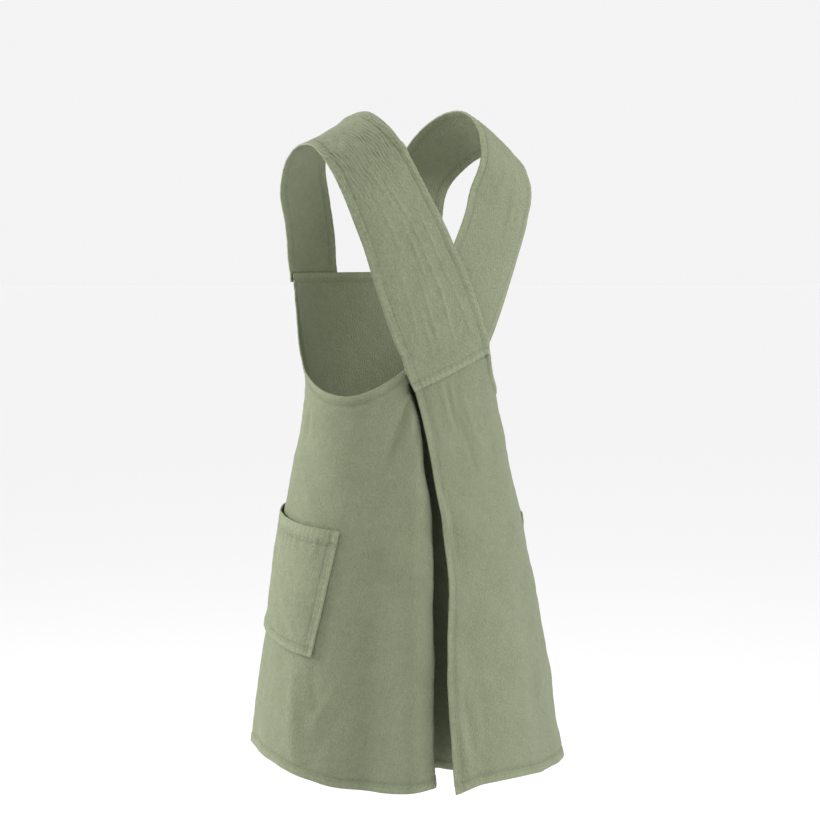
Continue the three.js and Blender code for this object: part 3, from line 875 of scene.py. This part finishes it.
def shoulder_crinkle(across, along, middle, above, below, seed):
    """Fine crinkles where the strap bends over the shoulder. They run along the strap behind the
    shoulder and turn crosswise over its top."""
    draw = np.random.RandomState(seed)
    stations = np.linspace(0, 0.66, 661)
    slant = np.radians(4 + 72 * (1 - ease(stations, middle - 0.050, middle + 0.030)))
    travelled = np.interp(along, stations, np.cumsum(np.sin(slant)) * 0.001)
    upright = np.interp(along, stations, np.cos(slant))
    total = np.zeros_like(across)
    for _ in range(6):
        pitch = draw.uniform(0.0040, 0.0066)
        sway = along * draw.uniform(90, 170) + across * draw.uniform(-60, 60)
        sway = 0.0016 * np.sin(sway + draw.uniform(0, 6))
        phase = (across * upright + travelled + sway) * np.pi / pitch
        patch = np.sin(across * draw.uniform(60, 150) + along * draw.uniform(-50, 50) + draw.uniform(0, 6))
        patch = 0.5 + 0.5 * patch * np.sin(along * draw.uniform(50, 90) + draw.uniform(0, 6))
        total += (0.637 - np.abs(np.sin(phase + draw.uniform(0, 6)))) * patch
    off = along - middle
    return total * np.exp(-((off / np.where(off < 0, above, below)) ** 2))


# Lengthwise creases of the left strap: across and along at both ends, width, height, metres.
left_strap_creases = [
    (0.010, 0.320, 0.003, 0.430, 0.0022, 0.0008),
    (-0.002, 0.360, -0.007, 0.470, 0.0025, 0.0009),
    (-0.008, 0.450, -0.013, 0.560, 0.0028, 0.0011),
    (0.022, 0.370, 0.019, 0.480, 0.0022, 0.0007),
    (-0.022, 0.400, -0.030, 0.540, 0.0028, 0.0009),
    (-0.031, 0.520, -0.036, 0.615, 0.0026, 0.0008),
    (0.005, 0.430, 0.002, 0.530, 0.0026, 0.0012),
    (0.009, 0.490, 0.012, 0.610, 0.0030, 0.0011),
    (0.030, 0.480, 0.035, 0.600, 0.0024, 0.0007),
    (-0.014, 0.510, -0.008, 0.620, 0.0026, 0.0009),
    (0.020, 0.540, 0.022, 0.622, 0.0024, 0.0008),
]
# It rises over the right strap where they cross, and again over the top of the right wing.
left_layers = 1 + ease(strap_along, 0.42, 0.64) + ease(strap_along, 0.80, 0.93)
left_points = strap_points(strap_rows, 1.0, LEFT_RIDGE_ROUND, strap_grid_u, strap_grid_v, left_layers)
edge_off, end_off, strap_across, strap_run = strap_edges(left_points)
strap_free = ease(end_off, 0.010, 0.040)
left_crinkle = shoulder_crinkle(across_m, along_m, SHOULDER_AT, 0.050, 0.095, 1)
left_creases = crease_field(across_m, along_m, left_strap_creases)
left_extra = (
    over_bib
    + 0.0005 * strap_free * (1 + soft_noise(left_points, 0.060, 11))
    + 0.00022 * strap_free * (1 + soft_noise(left_points, 0.016, 13))
    + 0.00078 * left_crinkle
    + left_creases
    + hem_relief(edge_off, strap_run, 4.0)
    + hem_relief(end_off, strap_across, 5.0)
)
# The strap's tone: the hems' painted highlights and shade, a painted highlight on the crests of the shoulder
# crinkles and lengthwise creases with painted shade in their troughs, and a random tone.
left_wear_and_painted_light = (
    hem_wear_and_painted_light(edge_off, strap_run, 4.0) + 1.2 * hem_wear_and_painted_light(end_off, strap_across, 5.0)
    + 0.45 * left_crinkle + 90.0 * left_creases + 0.10 * soft_noise(left_points, 0.012, 17)
)
left_hem = hem_band(np.minimum(edge_off, end_off))
left_strap, column, row = cloth_grid("strap_left_cloth", strap_columns, strap_length_rows)
left_placed, left_outward = hang_cloth(left_strap, column, row, left_points, left_extra, left_wear_and_painted_light, left_hem)
left_strap.data.materials.append(cloth_material)
give_thickness(left_strap)
# Rows of stitches, in squares from the edge: along the band, at its end and across its end's hem.
long_seam, end_seam, inner_seam = 6, 2, 5
bib_end_row, bib_seam_row = strap_length_rows - end_seam, strap_length_rows - inner_seam
left_stitching = join_rows("strap_left_stitching", [
    sew_line("neck_edge_stitches", line_on(left_placed, left_outward, long_seam, "column")),
    sew_line("arm_edge_stitches", line_on(left_placed, left_outward, strap_columns - long_seam, "column")),
    sew_line("wing_end_stitches", line_on(left_placed, left_outward, end_seam, "row")),
    sew_line("wing_seam_stitches", line_on(left_placed, left_outward, inner_seam, "row")),
    sew_line("bib_end_stitches", line_on(left_placed, left_outward, bib_end_row, "row")),
    sew_line("bib_seam_stitches", line_on(left_placed, left_outward, bib_seam_row, "row")),
], thread_material)
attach(left_strap, "root")
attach(left_stitching, "root")
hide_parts("strap_left")


# Right strap: the same band on the other shoulder. It crosses the back under the left strap, and
# its end is sewn over the top of the left wing, out of sight.

# Its neck edge lies closer to the neck on the shoulder, and its hidden end is cut less slanting.
NECK_LEAN = 0.0082
right_strap_rows = []
for at, way, inner_x, inner_fall, outer_x, outer_fall in strap_rows:
    near = float(ease(at, 0.25, 0.42) * (1 - ease(at, 0.50, 0.70)))
    if at == 1.0:
        inner_x, inner_fall = -0.0600, 0.3530
    right_strap_rows.append((at, way, inner_x - NECK_LEAN * near, inner_fall, outer_x, outer_fall))
right_strap_creases = [
    (0.010, 0.360, 0.022, 0.500, 0.0060, -0.0014),
    (0.026, 0.400, 0.034, 0.540, 0.0050, -0.0012),
    (-0.010, 0.330, 0.000, 0.430, 0.0050, 0.0008),
    (0.018, 0.340, 0.029, 0.470, 0.0045, 0.0008),
]
right_points = strap_points(right_strap_rows, -1.0, RIGHT_RIDGE_ROUND, 1 - strap_grid_u, strap_grid_v,
                            1 + 0 * strap_along)
edge_off, end_off, strap_across, strap_run = strap_edges(right_points)
under = ease(strap_along, 0.62, 0.72)
right_crinkle = shoulder_crinkle(-across_m, along_m, SHOULDER_AT, 0.050, 0.070, 2)
right_creases = crease_field(-across_m, along_m, right_strap_creases)
right_extra = (
    over_bib
    + (1 - under) * 0.0007 * soft_noise(right_points, 0.060, 21)
    + (1 - under) * 0.00022 * soft_noise(right_points, 0.016, 23)
    + 0.00070 * right_crinkle
    + (1 - 0.6 * under) * right_creases
    + (1 - 0.7 * under) * hem_relief(edge_off, strap_run, 6.0)
    + (1 - 0.7 * under) * hem_relief(end_off, strap_across, 7.0)
)
# The strap's tone: the hems' painted highlights and shade, a painted highlight on the crests of the shoulder
# crinkles and lengthwise creases with painted shade in their troughs, and a random tone.
right_wear_and_painted_light = (
    hem_wear_and_painted_light(edge_off, strap_run, 6.0) + hem_wear_and_painted_light(end_off, strap_across, 7.0)
    + 0.36 * right_crinkle + 90.0 * right_creases + 0.10 * soft_noise(right_points, 0.012, 27)
)
right_hem = (1 - under) * hem_band(np.minimum(edge_off, end_off))
right_strap, column, row = cloth_grid("strap_right_cloth", strap_columns, strap_length_rows)
right_placed, right_outward = hang_cloth(right_strap, column, row, right_points, right_extra, right_wear_and_painted_light,
                                          right_hem)
right_strap.data.materials.append(cloth_material)
give_thickness(right_strap)
right_stitching = join_rows("strap_right_stitching", [
    sew_line("neck_edge_stitches", line_on(right_placed, right_outward, strap_columns - long_seam, "column")),
    sew_line("arm_edge_stitches", line_on(right_placed, right_outward, long_seam, "column")),
    sew_line("bib_end_stitches", line_on(right_placed, right_outward, bib_end_row, "row")),
    sew_line("bib_seam_stitches", line_on(right_placed, right_outward, bib_seam_row, "row")),
], thread_material)
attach(right_strap, "root")
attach(right_stitching, "root")
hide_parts("strap_right")


# Patch pockets: a square of the same cloth on each hip, sewn on along its sides and foot. The
# mouth is turned in, has a sewn box at each corner against tearing, and puckers a little under it.
POCKET_BULGE = 0.0016
POCKET_CLEARANCE = 0.0006
POCKET_WIDTH = 0.19
POCKET_HEIGHT = 0.172
POCKET_BORDER = 0.0110
RIGHT_POCKET_TURN = 6.0
MOUTH_HEM = 0.019
EDGE_LIFT = {"left": 0.0010, "right": 0.0}
# Corners: angle, fall.
pocket_corners = {
    "mouth_back": (114.9, 0.6188),
    "mouth_front": (54.0, 0.5950),
    "foot_front": (50.0, 0.7646),
    "foot_back": (108.3, 0.8011),
}
pocket_columns, pocket_rows = 110, 108
edge_seam, mouth_seam = 3, 12


def pocket_points(side, u, v):
    """The pocket's cloth: u from its back edge to its front edge, v from the foot to the mouth."""
    angle_and_fall = []
    for i in (0, 1):
        mouth_back, mouth_front, foot_front, foot_back = [corner[i] for corner in pocket_corners.values()]
        mouth = mouth_back + (mouth_front - mouth_back) * u
        foot = foot_back + (foot_front - foot_back) * u
        angle_and_fall.append(foot + (mouth - foot) * v)
    angle, fall = angle_and_fall
    angle = side * (angle - (RIGHT_POCKET_TURN if side < 0 else 0.0))
    full = np.sin(np.pi * np.clip(u, 0, 1)) ** 0.7 * v ** 2
    seat = wing_layer(angle) + LAYER + POCKET_CLEARANCE
    return cloth_point(angle, -fall * LENGTH, seat + POCKET_BULGE * full)


pocket_u = spread_lines(pocket_columns, POCKET_WIDTH, POCKET_BORDER, 8)
pocket_v = spread_lines(pocket_rows, POCKET_HEIGHT, POCKET_BORDER, 7)
for side, side_name in ((1.0, "left"), (-1.0, "right")):
    grid_u, grid_v = np.meshgrid(pocket_u, pocket_v, indexing="ij")
    points = pocket_points(side, grid_u if side > 0 else 1 - grid_u, grid_v)
    edge_off, end_off, run_across, run_up = strap_edges(points)
    from_foot = np.where(grid_v > 0.5, 1.0, end_off)
    from_mouth = np.where(grid_v > 0.5, end_off, 1.0)
    mouth_off = np.maximum(from_mouth - MOUTH_HEM + HEM, 0) + 0.0001
    ripple = np.sin(run_across * 2 * np.pi / 0.015 + 2.2 * np.sin(run_across * 47.0 + side))
    below = np.exp(-(((from_mouth - MOUTH_HEM - 0.007) / 0.013) ** 2)) * ease(edge_off, 0.006, 0.030)
    box = np.maximum(np.abs(edge_off - 0.0065) / 0.0040, np.abs(from_mouth - 0.0090) / 0.0075)
    box_line = np.exp(-(((box - 1) / 0.22) ** 2))
    extra = (
        hanging_unevenness(points, points[..., 2])
        + 0.0006 * ease(edge_off, 0.006, 0.03)
        + EDGE_LIFT[side_name] * np.exp(-((edge_off / 0.0026) ** 2))
        + 0.0005 * below * ripple
        + 0.5 * hem_relief(edge_off, run_up, 8.0)
        + 0.7 * hem_relief(from_foot, run_across, 9.0)
        + hem_relief(mouth_off, run_across, 10.0)
        - 0.0005 * box_line
    )
    # The pocket's tone: the hems' painted highlights and shade, painted highlights and shade on the puckers
    # under the mouth, painted shade along the sewn boxes' pulled-in lines, and a random tone.
    wear_and_painted_light = (
        hem_wear_and_painted_light(edge_off, run_up, 8.0) + hem_wear_and_painted_light(from_foot, run_across, 9.0)
        + 0.8 * hem_wear_and_painted_light(mouth_off, run_across, 10.0) + 0.20 * below * ripple
        - 0.60 * box_line + 0.10 * soft_noise(points, 0.012, 37)
    )
    pocket_hem = np.maximum(hem_band(np.minimum(edge_off, from_foot)), hem_band(mouth_off))
    pocket, column, row = cloth_grid("pocket_" + side_name + "_cloth", pocket_columns, pocket_rows)
    placed, outward = hang_cloth(pocket, column, row, points, extra, wear_and_painted_light, pocket_hem)
    pocket.data.materials.append(cloth_material)
    give_thickness(pocket)
    pocket_stitching = join_rows("pocket_" + side_name + "_stitching", [
        sew_line("side_stitches", line_on(placed, outward, edge_seam, "column")),
        sew_line("other_side_stitches", line_on(placed, outward, pocket_columns - edge_seam, "column")),
        sew_line("foot_stitches", line_on(placed, outward, edge_seam, "row")),
        sew_line("mouth_stitches", line_on(placed, outward, pocket_rows - mouth_seam, "row")),
    ], thread_material)
    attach(pocket, "root")
    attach(pocket_stitching, "root")
    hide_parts("pocket_" + side_name)
